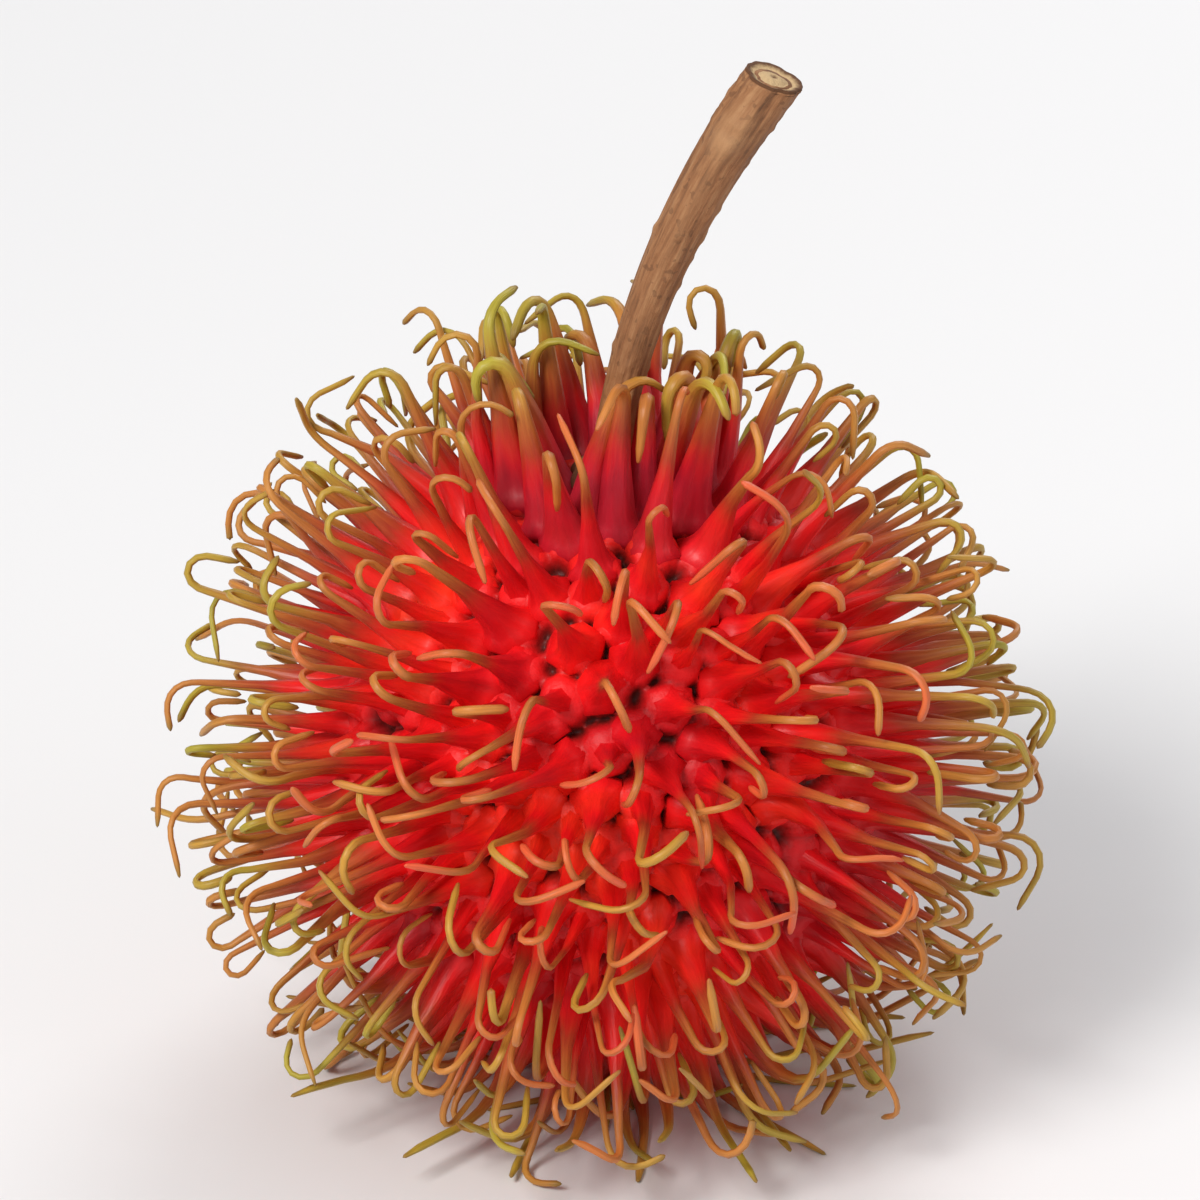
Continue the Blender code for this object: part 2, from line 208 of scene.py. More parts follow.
# Calyx: five lobes that droop at their tips
CALYX_ROWS = 26
CALYX_COLUMNS = 150
CALYX_LOBES = 5
LOBE_REACH = (0.86, 0.24)
LOBE_POWER = 0.8
CALYX_INNER = 0.5
CALYX_LIFT = 0.00045
CALYX_DROOP = 0.00045
CALYX_TOP = 0.00028
CALYX_UNDER = 0.00067
CALYX_ROUND = 0.7
CALYX_MIDDLE = 0.2

# Materials: the Mix node's colour sockets, places of the stops in colour ramps, how much each
# pattern shifts or shades a colour, and depths of bumps in metres
MIX_INPUTS = (0, 6, 7)
MIX_OUTPUT = 2
BLACK = (0.0, 0.0, 0.0)
WHITE = (1.0, 1.0, 1.0)
COAT_ROUGHNESS = 0.28
FINE_BUMP = 0.0002
COARSE_BUMP = 0.0003
FLESH_STOPS = (0.34, 0.52, 0.70)
# Painted shade in the pits and creases: what is added to a noise before it scales the darkening
PIT_SHADE = 0.75
# How far a hair's tone, its streaks, the crown and the painted light of the side that faces the
# camera shift its colours along it
COLOUR_SHIFTS = (0.16, 0.18, -0.10, -0.12)
COLOUR_START = 0.17
RIPE_CROWN = 0.5
RIPE_SPREAD = 0.6
RIPE_START = 0.3
RIPE_STOPS = (0.10, 0.50, 0.95)
DRY_TIP = (0.93, 1.0)
# Painted light on the hooks that face the camera: how much a hair takes of it, from its tone
LIT_BY_TONE = (-0.9, 1.2)
SHAFT_STOPS = (0.16, 0.31, 0.50)
INTO_HOOK = (0.50, 0.74)
LEAVE_RED = (0.08, 0.30)
# Streaks along the hairs, partly their own striping and partly painted highlight and shade of their
# ridges: how a noise scales the colour
STREAK_SHADE = (0.70, 0.62)
BARK_STOPS = (0.28, 0.50, 0.74)
SPECK_SIZE = 0.66
SPECK_SHADE = 0.5
PORE_RISE = 4.0
PORE_SOFT = 0.1
PORE_PALE = 0.6
YOUNG_REACH = 3.4
YOUNG_SHADE = 0.8
GRAIN_SHARE = 0.4
CUT_SPECKLE = 0.16
CUT_STOPS = (0.10, 0.26, 0.82, 0.98)
CALYX_SPECKLE = 0.4
CALYX_STOPS = (0.3, 0.8, 1.0)

# Stage: the floor's reach, and each light's name, place, size, power and colour
FLOOR_REACH = 1.5
WORLD_LIGHT = 0.42
LIGHTS = (
    ("key", (-0.35, -0.45, 0.60), 0.30, 5.9, (1.0, 0.98, 0.95)),
    ("fill", (0.55, -0.30, 0.30), 0.50, 0.9, (0.95, 0.97, 1.0)),
    ("back", (0.20, 0.50, 0.45), 0.35, 2.0, (1.0, 1.0, 1.0)),
)
CLIP_START = 0.01


def unit(vectors):
    """Each vector made one long."""
    return vectors / np.linalg.norm(vectors, axis=-1, keepdims=True)


def turns(count):
    """Angles that stand evenly round a full turn."""
    return np.linspace(0, 2 * math.pi, count, endpoint=False)


def round_axis(radius, angle, height):
    """Points at a radius and angle round the Z axis, at a height: the radius times the angle's
    cosine and sine, and the height."""
    parts = radius * np.cos(angle), radius * np.sin(angle), height
    return np.stack(np.broadcast_arrays(*parts), axis=-1)


def bell(*ratios):
    """The exponential of the ratios' squares, summed and made negative: one in the middle."""
    return np.exp(-sum(ratio**2 for ratio in ratios))


def share_between(values, low, high):
    """How far values are from low to high, as a share that stays within none and all."""
    return np.clip((values - low) / (high - low), 0, 1)


def eased(share):
    """Three times a share's square less twice its cube, which starts and ends softly."""
    return share**2 * (3 - 2 * share)


def with_sunk(rows):
    """Rows with the first one repeated, for the ring that is sunk below it."""
    return np.concatenate([rows[:1], rows])


def fruit_shape():
    """The fruit's and the stalk's sizes from the panel, as plain numbers and arrays, without the
    tails that a property's 32 bits add."""
    scene = bpy.context.scene
    size = {}
    for group in (scene.rambutan_fruit, scene.rambutan_stalk):
        for name in group.__annotations__:
            size[name] = round(getattr(group, name), PROPERTY_DIGITS)
    half = np.array([size["skin_width"], size["skin_depth"], size["skin_height"]]) / 2
    middle = np.array([0.0, 0.0, size["skin_lift"] + size["skin_height"] / 2])
    crown = size["skin_lift"] + size["skin_height"]
    return SimpleNamespace(half=half, middle=middle, crown=crown, **size)


def spiral(shape, count, bare_crown):
    """Directions from the skin's middle along a spiral from the bare crown down to the blossom end,
    with equal areas for all."""
    number = np.arange(count)
    top = math.sqrt(1 - (bare_crown / shape.half[0]) ** 2)
    height = top - (top + 1) * (number + 0.5) / count
    around = number * math.pi * (3 - math.sqrt(5))
    return round_axis(np.sqrt(1 - height**2), around, height)


def main_sites(shape):
    """Directions to the roots of the solids' hairs, each moved a little at random."""
    sites = spiral(shape, shape.hair_count, BARE_CROWN)
    scatter = np.random.default_rng(SEED).normal(size=sites.shape)
    scatter = np.clip(scatter, -MOST_SCATTER, MOST_SCATTER)
    return unit(sites + scatter * ROOT_SCATTER / shape.half)


def fine_sites(shape, sites):
    """Directions to the roots of the finer hairs: spots of a denser spiral, tried in random order,
    that keep far enough from the main roots and from the finer ones before them."""
    spots = spiral(shape, FINE_SPOTS, FINE_BARE_CROWN)
    places, main = spots * shape.half, sites * shape.half
    chosen = []
    for spot in np.random.default_rng(SEED + 4).permutation(FINE_SPOTS):
        apart = np.linalg.norm(main - places[spot], axis=1).min()
        near = np.linalg.norm(places[chosen] - places[spot], axis=1)
        if apart > FINE_ROOM and (near > FINE_SPACING).all() and len(chosen) < shape.fine_count:
            chosen.append(spot)
    return spots[chosen]


def crown_share(shape, root):
    """How much a hair belongs to the crown: one round the stalk, and soon zero further out."""
    off_axis = math.hypot(root[0], root[1])
    return float(root[2] > shape.middle[2]) * math.exp(-((off_axis / CROWN_REACH) ** EDGE_POWER))


def hair_radius(shape, along, crown=0.0, girth=1.0):
    """A hair's mean radius: thick at the root, and slender over its outer half. Crown hairs stay
    thick for longer."""
    taper = TAPER - CROWN_TAPER * crown
    return shape.tip_radius + girth * (shape.root_radius - shape.tip_radius) * (1 - along) ** taper


def hair_path(shape, root, outward, bends):
    """Centrelines and side vectors of one hair's trial shapes, a row for each trial.

    A hair leaves the skin along outward. Its angle from there is its lean, plus a bow that grows
    evenly, plus a hook that grows from none to all of the curl between two shares of the length.
    Near the table its descent dies away, so that it lands softly and lies along the table."""
    azimuth, lean, bow, curl, start, span, twist, length = bends
    level = unit(np.cross(outward, [0.0, 0.0, 1.0]) + [TINY, 0.0, 0.0])
    rise = np.cross(level, outward)
    azimuth = np.radians(azimuth)[:, None]
    bend = np.cos(azimuth) * rise + np.sin(azimuth) * level
    side = np.cross(outward, bend)
    point = np.repeat(root[None], len(bend), axis=0)
    points = [point]
    sides = [side]
    step = (length / PATH_STEPS)[:, None]
    for number in range(PATH_STEPS):
        along = (number + 0.5) / PATH_STEPS
        hooked = eased(np.clip((along - start) / span, 0, 1))
        turned = np.radians(lean + bow * along + curl * hooked)[:, None]
        twisted = np.radians(twist * along)[:, None]
        across = np.cos(twisted) * bend + np.sin(twisted) * side
        heading = np.cos(turned) * outward + np.sin(turned) * across
        clear = point[:, 2] - LYING_HEIGHT * hair_radius(shape, along)
        drop = np.maximum(heading[:, 2], -np.maximum(clear, 0) / LANDING_REACH)
        flat = heading[:, :2] + TINY * bend[:, :2]
        flat *= (np.sqrt(1 - drop**2) / np.linalg.norm(flat, axis=1))[:, None]
        heading = np.concatenate([flat, drop[:, None]], axis=1)
        point = point + heading * step
        points.append(point)
        sides.append(unit(sides[-1] - np.sum(sides[-1] * heading, axis=1, keepdims=True) * heading))
    return np.stack(points, axis=1), np.stack(sides, axis=1)


def solid_stations(start, span):
    """Shares of a hair's length where its solid has rings: at the root, past the flare, and at the
    start, middle and end of the hook, and the tip. A row for each trial."""
    root, flare, tip = 0 * start, 0 * start + FLARE_END, 0 * start + 1
    return np.stack([root, flare, start, start + span / 2, start + span, tip], axis=1)


def at_stations(values, stations):
    """Rows of a path's values, read between its steps at these shares of the length."""
    place = stations * PATH_STEPS
    low = np.minimum(place.astype(int), PATH_STEPS - 1)
    share = (place - low)[:, None]
    return values[..., low, :] * (1 - share) + values[..., low + 1, :] * share


def gaps_between(start_a, end_a, radii_a, start_b, end_b, radii_b):
    """Free room between every tapered run of a and every one of b: the nearest distance of the two
    straight centrelines, less both radii there."""
    along_a, along_b = (end_a - start_a)[:, None], (end_b - start_b)[None]
    between = start_a[:, None] - start_b[None]
    aa, bb = np.sum(along_a**2, axis=2), np.sum(along_b**2, axis=2)
    ab = np.sum(along_a * along_b, axis=2)
    a0, b0 = np.sum(along_a * between, axis=2), np.sum(along_b * between, axis=2)
    spread = np.maximum(aa * bb - ab**2, TINY**2)
    on_a = np.clip((ab * b0 - bb * a0) / spread, 0, 1)
    on_b = np.clip((ab * on_a + b0) / bb, 0, 1)
    on_a = np.clip((ab * on_b - a0) / aa, 0, 1)
    apart = between + on_a[..., None] * along_a - on_b[..., None] * along_b
    thick_a = radii_a[:, :1] * (1 - on_a) + radii_a[:, 1:] * on_a
    thick_b = radii_b[None, :, 0] * (1 - on_b) + radii_b[None, :, 1] * on_b
    return np.linalg.norm(apart, axis=2) - thick_a - thick_b


def runs_of(points, radii):
    """A centreline as straight runs, with the radii at both ends of each."""
    return points[:-1], points[1:], np.stack([radii[:-1], radii[1:]], axis=1)


def stalk_lean(shape, along):
    """The stalk's angle from upright, which grows with a power of the distance from the crown."""
    return np.radians(shape.stalk_lean) * along**STALK_LEAN_RISE


def stalk_line(shape, rings):
    """The stalk's centreline from the crown, with the sum of short steps along its lean."""
    along = np.linspace(0, 1, rings)
    lean = stalk_lean(shape, (along[1:] + along[:-1]) / 2)
    steps = np.stack([np.sin(lean), 0 * lean, np.cos(lean)], axis=1)
    steps = steps * shape.stalk_length / (rings - 1)
    return np.concatenate([[[0, 0, 0]], np.cumsum(steps, axis=0)]) + [0, 0, shape.crown]


def stalk_radius(shape, along):
    """The stalk's radius: wide at the calyx, slim above it and stouter towards the cut end."""
    root = shape.stalk_foot_radius - shape.stalk_waist_radius
    end = shape.stalk_end_radius - shape.stalk_waist_radius
    foot = root * np.exp(-along / STALK_FOOT_FADE)
    return shape.stalk_waist_radius + foot + end * along**STALK_END_SWELL


def outside_skin(shape, points):
    """How far points lie outside the skin, near enough for points close to it."""
    away = (points - shape.middle) / shape.half
    return (np.linalg.norm(away, axis=-1) - 1) * shape.half.mean()


def swirl(root):
    """Which way hairs near this root tend to bend, in degrees: it changes slowly over the skin."""
    across, along, up = SWIRL_WAVES
    waves = math.sin(across * root[0] + SWIRL_PHASE) + math.sin(along * root[1] - up * root[2])
    return 180.0 + SWIRL_TURN * math.degrees(waves)


def kind_girth(kind, crown):
    """How stout a kind of hairs is beside the main ones; near the crown all are as stout."""
    return kind.girth + (1 - kind.girth) * crown


def hair_trials(shape, kind, draw, root, normal, is_seat):
    """One hair's random trials: their paths, stations and radii there, and the hair's girth. Hairs
    near the crown are stouter and more upright, low hairs splay outwards along the table, and the
    seat hair lies across the middle."""
    crown = crown_share(shape, root)
    stouter = float(np.clip(draw.normal(), -MOST_GIRTH_SPREAD, MOST_GIRTH_SPREAD))
    girth = 1 + CROWN_GIRTH * crown + GIRTH_SPREAD * stouter
    width = kind_girth(kind, crown)
    azimuth = swirl(root) + draw.normal(0, SWIRL_SPREAD, TRIES)
    lean = draw.uniform(*LEAN, TRIES)
    bow = draw.normal(0, BOW, TRIES)
    curl = np.clip(draw.normal(*CURL, TRIES), LEAST_CURL, MOST_CURL)
    start = draw.uniform(*kind.start, TRIES)
    span = draw.uniform(*kind.span, TRIES)
    twist = draw.normal(0, TWIST, TRIES)
    longer = np.clip(draw.normal(size=TRIES), -MOST_LENGTH_SPREAD, MOST_LENGTH_SPREAD)
    length = shape.hair_length * kind.length + HAIR_LENGTH_SPREAD * longer
    outward = unit(normal + [0.0, 0.0, CROWN_UPRIGHT * crown])
    if root[2] < kind.pressed_below:
        azimuth = draw.normal(0, PRESSED_SPREAD, TRIES) * np.linspace(1.0, WIDER_SPREAD, TRIES)
        curl = np.clip(draw.normal(*PRESSED_CURL, TRIES), LEAST_CURL, MOST_CURL)
        start = draw.uniform(*PRESSED_START, TRIES)
        span = np.full(TRIES, PRESSED_SPAN)
        twist = twist * PRESSED_TWIST
    if is_seat:
        outward = unit(root - shape.middle)
        azimuth = np.full(TRIES, 180.0)
        lean = np.full(TRIES, SEAT_LEAN)
        curl = np.full(TRIES, SEAT_CURL)
        start = np.full(TRIES, PRESSED_START[0])
        bow = twist = np.zeros(TRIES)
    bends = (azimuth, lean, bow, curl, start, span, twist, length)
    stations = solid_stations(start, span)
    radii = hair_radius(shape, stations, crown, width) * girth
    return hair_path(shape, root, outward, bends), stations, radii, girth


def first_clear(shape, paths, stations, radii, neighbours):
    """The number and the straight runs of the first trial that keeps clear of its neighbours, of
    the skin and of itself, or else of the one with most room."""
    best = None
    for trial in range(TRIES):
        line = at_stations(paths[0][trial], stations[trial])
        width = radii[trial] * CLEAR_WIDTH
        runs = runs_of(line[1:], width[1:])
        shaft, tail = [part[:1] for part in runs], [part[-1:] for part in runs]
        room = gaps_between(*shaft, *tail).min() - HAIR_GAP
        room = min(room, (outside_skin(shape, line[2:]) - width[2:]).min() - SKIN_GAP)
        if len(neighbours[0]):
            room = min(room, gaps_between(*runs, *neighbours).min() - HAIR_GAP)
        if best is None or room > best[0]:
            best = (room, trial, runs)
        if room > 0:
            break
    return best[1:]


def grow_hairs(shape, kind, sites, draw, placed, seat_hair):
    """All the hairs of one kind, and the placed runs with theirs added. They are placed one by one
    from the table up, after the seat hair if there is one."""
    roots, normals = shape.middle + sites * shape.half, unit(sites / shape.half)
    count = len(roots)
    grown = SimpleNamespace(
        kind=kind,
        roots=roots,
        normals=normals,
        crowns=np.array([crown_share(shape, root) for root in roots]),
        paths=np.zeros((2, count, PATH_STEPS + 1, 3)),
        hooks=np.zeros((count, 2)),
        girths=np.ones(count),
    )
    for number in sorted(range(count), key=lambda number: (number != seat_hair, roots[number, 2])):
        root, is_seat = roots[number], number == seat_hair
        trials = hair_trials(shape, kind, draw, root, normals[number], is_seat)
        paths, stations, radii, girth = trials
        near = np.linalg.norm(placed[0] - root, axis=1) < NEIGHBOUR_REACH
        trial, runs = first_clear(shape, paths, stations, radii, [part[near] for part in placed])
        grown.paths[:, number] = [path[trial] for path in paths]
        grown.hooks[number] = stations[trial][2], stations[trial][4]
        grown.girths[number] = girth
        placed = [np.concatenate(pair) for pair in zip(placed, runs)]
    return grown, placed


def grow_all_hairs(shape):
    """The solids' own hairs, and then the finer ones between them."""
    sites = main_sites(shape)
    roots = shape.middle + sites * shape.half
    off_axis = np.linalg.norm(roots[:, :2], axis=1)
    low = roots[:, 2] < shape.middle[2]
    seat_hair = int(np.argmin(np.where(low, np.abs(off_axis - SEAT_ROOT), 1.0)))
    stalk_width = stalk_radius(shape, np.linspace(0, 1, STALK_SOLID_RINGS))
    stalk_room = stalk_width * STALK_CLEARANCE + FIT_GAP
    placed = runs_of(stalk_line(shape, STALK_SOLID_RINGS), stalk_room)
    draw = np.random.default_rng(SEED + 1)
    main, placed = grow_hairs(shape, MAIN_HAIRS, sites, draw, placed, seat_hair)
    draw = np.random.default_rng(SEED + 5)
    fine, _ = grow_hairs(shape, FINE_HAIRS, fine_sites(shape, sites), draw, placed, None)
    return main, fine


def tube_faces(rows, columns):
    """Quads between a grid's rings and a fan of triangles at each end, as point numbers. The two
    end points come after the grid's own points."""
    row, column = np.meshgrid(np.arange(rows - 1), np.arange(columns), indexing="ij")
    after = (column + 1) % columns
    low, high = row * columns, (row + 1) * columns
    quads = np.stack([low + column, low + after, high + after, high + column], axis=-1)
    ring = np.arange(columns)
    beyond = (ring + 1) % columns
    last = (rows - 1) * columns
    first_fan = np.stack([np.full(columns, rows * columns), beyond, ring], axis=1)
    last_fan = np.stack([np.full(columns, rows * columns + 1), last + ring, last + beyond], axis=1)
    return quads.reshape(-1, 4), np.concatenate([first_fan, last_fan])


def add_object(name, data):
    """A new object in the scene."""
    thing = bpy.data.objects.new(name, data)
    bpy.context.scene.collection.objects.link(thing)
    return thing


def make_piece(name, grids, ends, attributes):
    """A mesh object of one or many closed tubes.

    grids is an array of tubes x rings x points x 3, ends is tubes x 2 x 3, and each attribute is an
    array for the grids' points and one for the ends. Points run anticlockwise about the way the
    rings go, so that faces point outwards."""
    tubes, rows, columns = grids.shape[:3]
    points = np.concatenate([grids.reshape(tubes, -1, 3), ends], axis=1)
    quads, fans = tube_faces(rows, columns)
    shift = np.arange(tubes)[:, None, None] * points.shape[1]
    quads, fans = (quads + shift).reshape(-1, 4), (fans + shift).reshape(-1, 3)
    mesh = bpy.data.meshes.new(name)
    mesh.from_pydata(points.reshape(-1, 3), [], quads.tolist() + fans.tolist())
    for label, (inner, outer) in attributes.items():
        is_vector = np.ndim(outer) == 3
        kind, field, width = ("FLOAT_VECTOR", "vector", 3) if is_vector else ("FLOAT", "value", 1)
        values = [np.reshape(part, (tubes, -1, width)) for part in (inner, outer)]
        values = np.concatenate(values, axis=1).astype(np.float32)
        mesh.attributes.new(label, kind, "POINT").data.foreach_set(field, values.ravel())
    mesh.shade_smooth()
    mesh.update()
    return add_object(name, mesh)


def settle(piece, material, slot, *nodes):
    """Gives a finished piece its material and its body, and hides the solids that it stands for.
    The slot is not used.
    """
    piece.data.materials.append(material)
    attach(piece, "root")
    if nodes:
        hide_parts(*nodes)


def nearest_three(points, sites):
    """Distances from each point to its three nearest sites, in blocks of points."""
    found = []
    for block in np.array_split(points, POINT_BLOCKS):
        apart = np.linalg.norm(block[:, None] - sites[None], axis=2)
        found.append(np.partition(apart, 2, axis=1)[:, :3])
    return np.concatenate(found).T


def rind_surface(shape, roots):
    """The rind's grid of points, and how much painted shade each takes: most in the pits between
    roots, and less in the creases.

    A point of the egg moves along its normal: up by a mound that falls off with the square of the
    distance to the nearest root, down a little where the two nearest roots are equally far, down
    deeply where the three nearest are, and down into the stalk's hollow at the crown."""
    down = np.linspace(0, math.pi, RIND_DOWN + 2)[1:-1][::-1]
    sites = round_axis(np.sin(down)[:, None], turns(RIND_AROUND), np.cos(down)[:, None])
    base = (shape.middle + sites * shape.half).reshape(-1, 3)
    nearest, second, third = nearest_three(base, roots)
    mound = bell(nearest / MOUND_REACH)
    crease = bell((second - nearest) / CREASE_REACH) * (1 - mound)
    pit_and_painted_shade = bell((third - nearest) / PIT_REACH) * share_between(nearest, *PIT_FROM)
    off_axis = np.linalg.norm(base[:, :2], axis=1)
    seat = np.exp(-((off_axis / STALK_PIT_REACH) ** EDGE_POWER)) * (base[:, 2] > shape.middle[2])
    lift = MOUND_HEIGHT * mound - CREASE_DEPTH * crease - PIT_DEPTH * pit_and_painted_shade - STALK_PIT_DEPTH * seat
    points = base + unit(sites.reshape(-1, 3) / shape.half) * lift[:, None]
    # The second array is painted shade: most in the pits, and less in the creases
    return points.reshape(1, RIND_DOWN, RIND_AROUND, 3), np.maximum(pit_and_painted_shade, CREASE_SHADE * crease)


def ring_places(hooks):
    """Shares of each hair's length where it has rings: close together in the flare at the root and
    round the hook, and further apart on the straight shaft and tail. A row for each hair."""
    start, end = hooks[:, :1], hooks[:, 1:]
    flare = np.repeat([FLARE_RINGS], len(hooks), axis=0)
    shaft = (FLARE_END + start) / 2
    hook = start + (end - start) * np.linspace(0, 1, HOOK_RINGS + 1)
    tail = end + (1 - end) * np.array(TIP_RINGS)
    return np.concatenate([flare, shaft, hook, tail], axis=1)


def hair_surface(shape, hairs):
    """Rings of all the hairs of one kind at once, with how far along their hair they lie.

    A centreline between two path steps is a cubic that leaves and arrives along the mean of the
    steps that meet there. Its section is an ellipse, with a flare at the root, and the last rings
    close round. The first ring is sunk under the skin."""
    along = ring_places(hairs.hooks)
    hair = np.arange(len(hairs.hooks))[:, None]
    place = along * PATH_STEPS
    low = np.minimum(place.astype(int), PATH_STEPS - 1)
    t = (place - low)[..., None]
    points, sides = hairs.paths
    lead = np.concatenate([points[:, :1], points, points[:, -1:]], axis=1)
    slope = (lead[:, 2:] - lead[:, :-2]) / 2
    middle = (
        points[hair, low] * (2 * t**3 - 3 * t**2 + 1)
        + slope[hair, low] * (t**3 - 2 * t**2 + t)
        + points[hair, low + 1] * (3 * t**2 - 2 * t**3)
        + slope[hair, low + 1] * (t**3 - t**2)
    )
    heading = unit(slope[hair, low] * (1 - t) + slope[hair, low + 1] * t)
    side = sides[hair, low] * (1 - t) + sides[hair, low + 1] * t
    side = unit(side - np.sum(side * heading, axis=2, keepdims=True) * heading)
    outer = np.cross(heading, side)
    crown = hairs.crowns[:, None]
    width = kind_girth(hairs.kind, crown)
    radius = hair_radius(shape, along, crown, width) * hairs.girths[:, None]
    radius += HAIR_FLARE * width * np.exp(-along / FLARE_REACH)
    radius[:, -1] *= TIP_END
    angle = turns(HAIR_SIDES)
    across = HAIR_ACROSS * np.cos(angle)[:, None] * side[:, :, None]
    through = HAIR_ALONG * np.sin(angle)[:, None] * outer[:, :, None]
    rings = middle[:, :, None] + radius[:, :, None, None] * (across + through)
    sunk = rings[:, :1] - hairs.normals[:, None, None] * ROOT_SINK
    rings = np.concatenate([sunk, rings], axis=1)
    foot = hairs.roots - hairs.normals * ROOT_SINK
    ends = np.stack([foot, points[:, -1] + TIP_POINT * heading[:, -1]], axis=1)
    for places in (rings, ends):
        places[..., 2] = np.maximum(places[..., 2], TABLE_CLEAR)
    return rings, ends, np.concatenate([along[:, :1], along], axis=1), angle


def lit_side_share(normals):
    """How much each hair takes of the painted light on the side that faces the camera and the key
    light: one where the skin faces that way, and none where it is turned well away from there."""
    return eased(share_between(normals @ unit(np.array(LIT_SIDE_WAY)), *LIT_SIDE_FADE))


def make_hairs(name, shape, hairs, draw):
    """The piece of one kind of hairs, with how far along each point lies, each hair's tone, how
    much it belongs to the crown, how much painted light it takes on the side that faces the
    camera, and places for streaks that run along it."""
    rings, ends, along, angle = hair_surface(shape, hairs)
    count = len(along)
    tone = draw.uniform(0, 1, count)
    shift = draw.uniform(0, GRAIN_SHIFT, (count, 1, 1, 3))
    flat = np.ones_like(along)[..., None] * np.ones_like(angle)
    far = along[..., None] * flat
    grain = round_axis(flat, angle, far * GRAIN_STRETCH)
    grain_ends = np.array([[0.0, 0.0, 0.0], [0.0, 0.0, GRAIN_STRETCH]])
    attributes = {
        "along": (far, np.tile([0.0, 1.0], (count, 1))),
        "grain": (grain + shift, grain_ends + shift[:, 0]),
    }
    whole_hairs = {"tone": tone, "crown": hairs.crowns, "lit_side": lit_side_share(hairs.normals)}
    for label, value in whole_hairs.items():
        attributes[label] = (flat * value[:, None, None], np.stack([value, value], axis=1))
    return make_piece(name, rings, ends, attributes)


def stalk_bumps(turn, along, draw):
    """The bark's relief as a share of the radius: ridges along the stalk that wander a little,
    fine wrinkles near the cut, leaf scars with a hollow, and scattered raised pores."""
    relief = np.zeros(np.broadcast(turn, along).shape)
    for count in BARK_RIDGES:
        wander = draw.uniform(-RIDGE_WANDER, RIDGE_WANDER)
        wave = np.sin(count * turn + wander * along + draw.uniform(0, 2 * math.pi))
        relief += RIDGE_HEIGHT / count**0.5 * wave
    wrinkle = np.sin(along * WRINKLE_PITCH + WRINKLE_WAVES * np.sin(WRINKLE_WAVES * turn))
    relief += WRINKLE_HEIGHT * wrinkle * bell((along - WRINKLE_PLACE) / WRINKLE_REACH)
    for place, facing, height in STALK_SCARS:
        off = (np.degrees(turn) - facing + 180) % 360 - 180
        up = along - place
        relief += height * bell(off / SCAR_TURN, up / SCAR_SPAN)
        relief -= SCAR_HOLLOW * bell(off / HOLLOW_TURN, (up - HOLLOW_SHIFT) / HOLLOW_SPAN)
    for _ in range(PORE_COUNT):
        off = (turn - draw.uniform(0, 2 * math.pi) + math.pi) % (2 * math.pi) - math.pi
        up = along - draw.uniform(PORE_FROM, 1.0)
        relief += PORE_HEIGHT * bell(off / PORE_TURN, up / PORE_SPAN)
    return relief


def stalk_surface(shape):
    """The bark: rings round the stalk's line, square to it, as wide as its radius and relief. The
    last rings lean back to the slanted cut. Also the line itself, the way that its end faces, how
    far along each ring is, the relief, and places for the grain."""
    along = np.linspace(0, 1, STALK_ROWS)
    line = stalk_line(shape, STALK_ROWS)
    slant = np.radians(shape.cut_slant) * share_between(along, SLANT_FROM, 1)
    lean = stalk_lean(shape, along) - slant
    upward = np.stack([np.sin(lean), 0 * along, np.cos(lean)], axis=1)
    side = np.array([0.0, 1.0, 0.0])
    other = np.cross(side, upward)
    turn = turns(STALK_COLUMNS)[:, None]
    relief = stalk_bumps(turn.T, along[:, None], np.random.default_rng(SEED + 2))
    relief *= np.clip(along / SMOOTH_FOOT, 0, 1)[:, None]
    radius = stalk_radius(shape, along)[:, None] * (1 + relief)
    out = np.cos(turn) * other[:, None] + np.sin(turn) * side
    rings = line[:, None] + radius[..., None] * out
    grain = round_axis(1.0, turn.T, along[:, None]) * BARK_STRETCH
    return rings, line, upward[-1], along, relief, grain


def new_material(name, roughness, coat=0.0, specular=0.36):
    """A Principled material with its fixed sockets set, its node tree and shader, and a socket
    with coordinates of the piece itself, in metres."""
    material = bpy.data.materials.new(name)
    material.use_nodes = True
    tree = material.node_tree
    shader = tree.nodes["Principled BSDF"]
    shader.inputs["Roughness"].default_value = roughness
    shader.inputs["Coat Weight"].default_value = coat
    shader.inputs["Coat Roughness"].default_value = COAT_ROUGHNESS
    shader.inputs["Specular IOR Level"].default_value = specular
    return material, tree, shader, new_node(tree, "TexCoord").outputs["Object"]


def feed(tree, socket, value):
    """Links an input to a socket, or sets it to a number or a colour."""
    if isinstance(value, bpy.types.NodeSocket):
        tree.links.new(value, socket)
    elif isinstance(value, (int, float)):
        socket.default_value = value
    else:
        socket.default_value = (*value, 1.0)


def new_node(tree, kind, **inputs):
    """A new node of a kind, with its inputs fed."""
    node = tree.nodes.new("ShaderNode" + kind)
    for label, value in inputs.items():
        feed(tree, node.inputs[label], value)
    return node


def read_attributes(tree, *labels):
    """Output sockets of Attribute nodes: a vector for the grain, and a number for any other."""
    for label in labels:
        node = new_node(tree, "Attribute")
        node.attribute_name = label
        yield node.outputs["Vector" if label == "grain" else "Fac"]


def noise(tree, vector, scale, detail=3.0, roughness=0.55):
    """The grey output of a Noise Texture that reads a vector socket."""
    inputs = {"Vector": vector, "Scale": scale, "Detail": detail, "Roughness": roughness}
    return new_node(tree, "TexNoise", **inputs).outputs["Fac"]


def math_node(tree, operation, *values):
    """The output of a Math node; each value is a socket or a number."""
    node = new_node(tree, "Math")
    node.operation = operation
    for socket, value in zip(node.inputs, values):
        feed(tree, socket, value)
    return node.outputs[0]


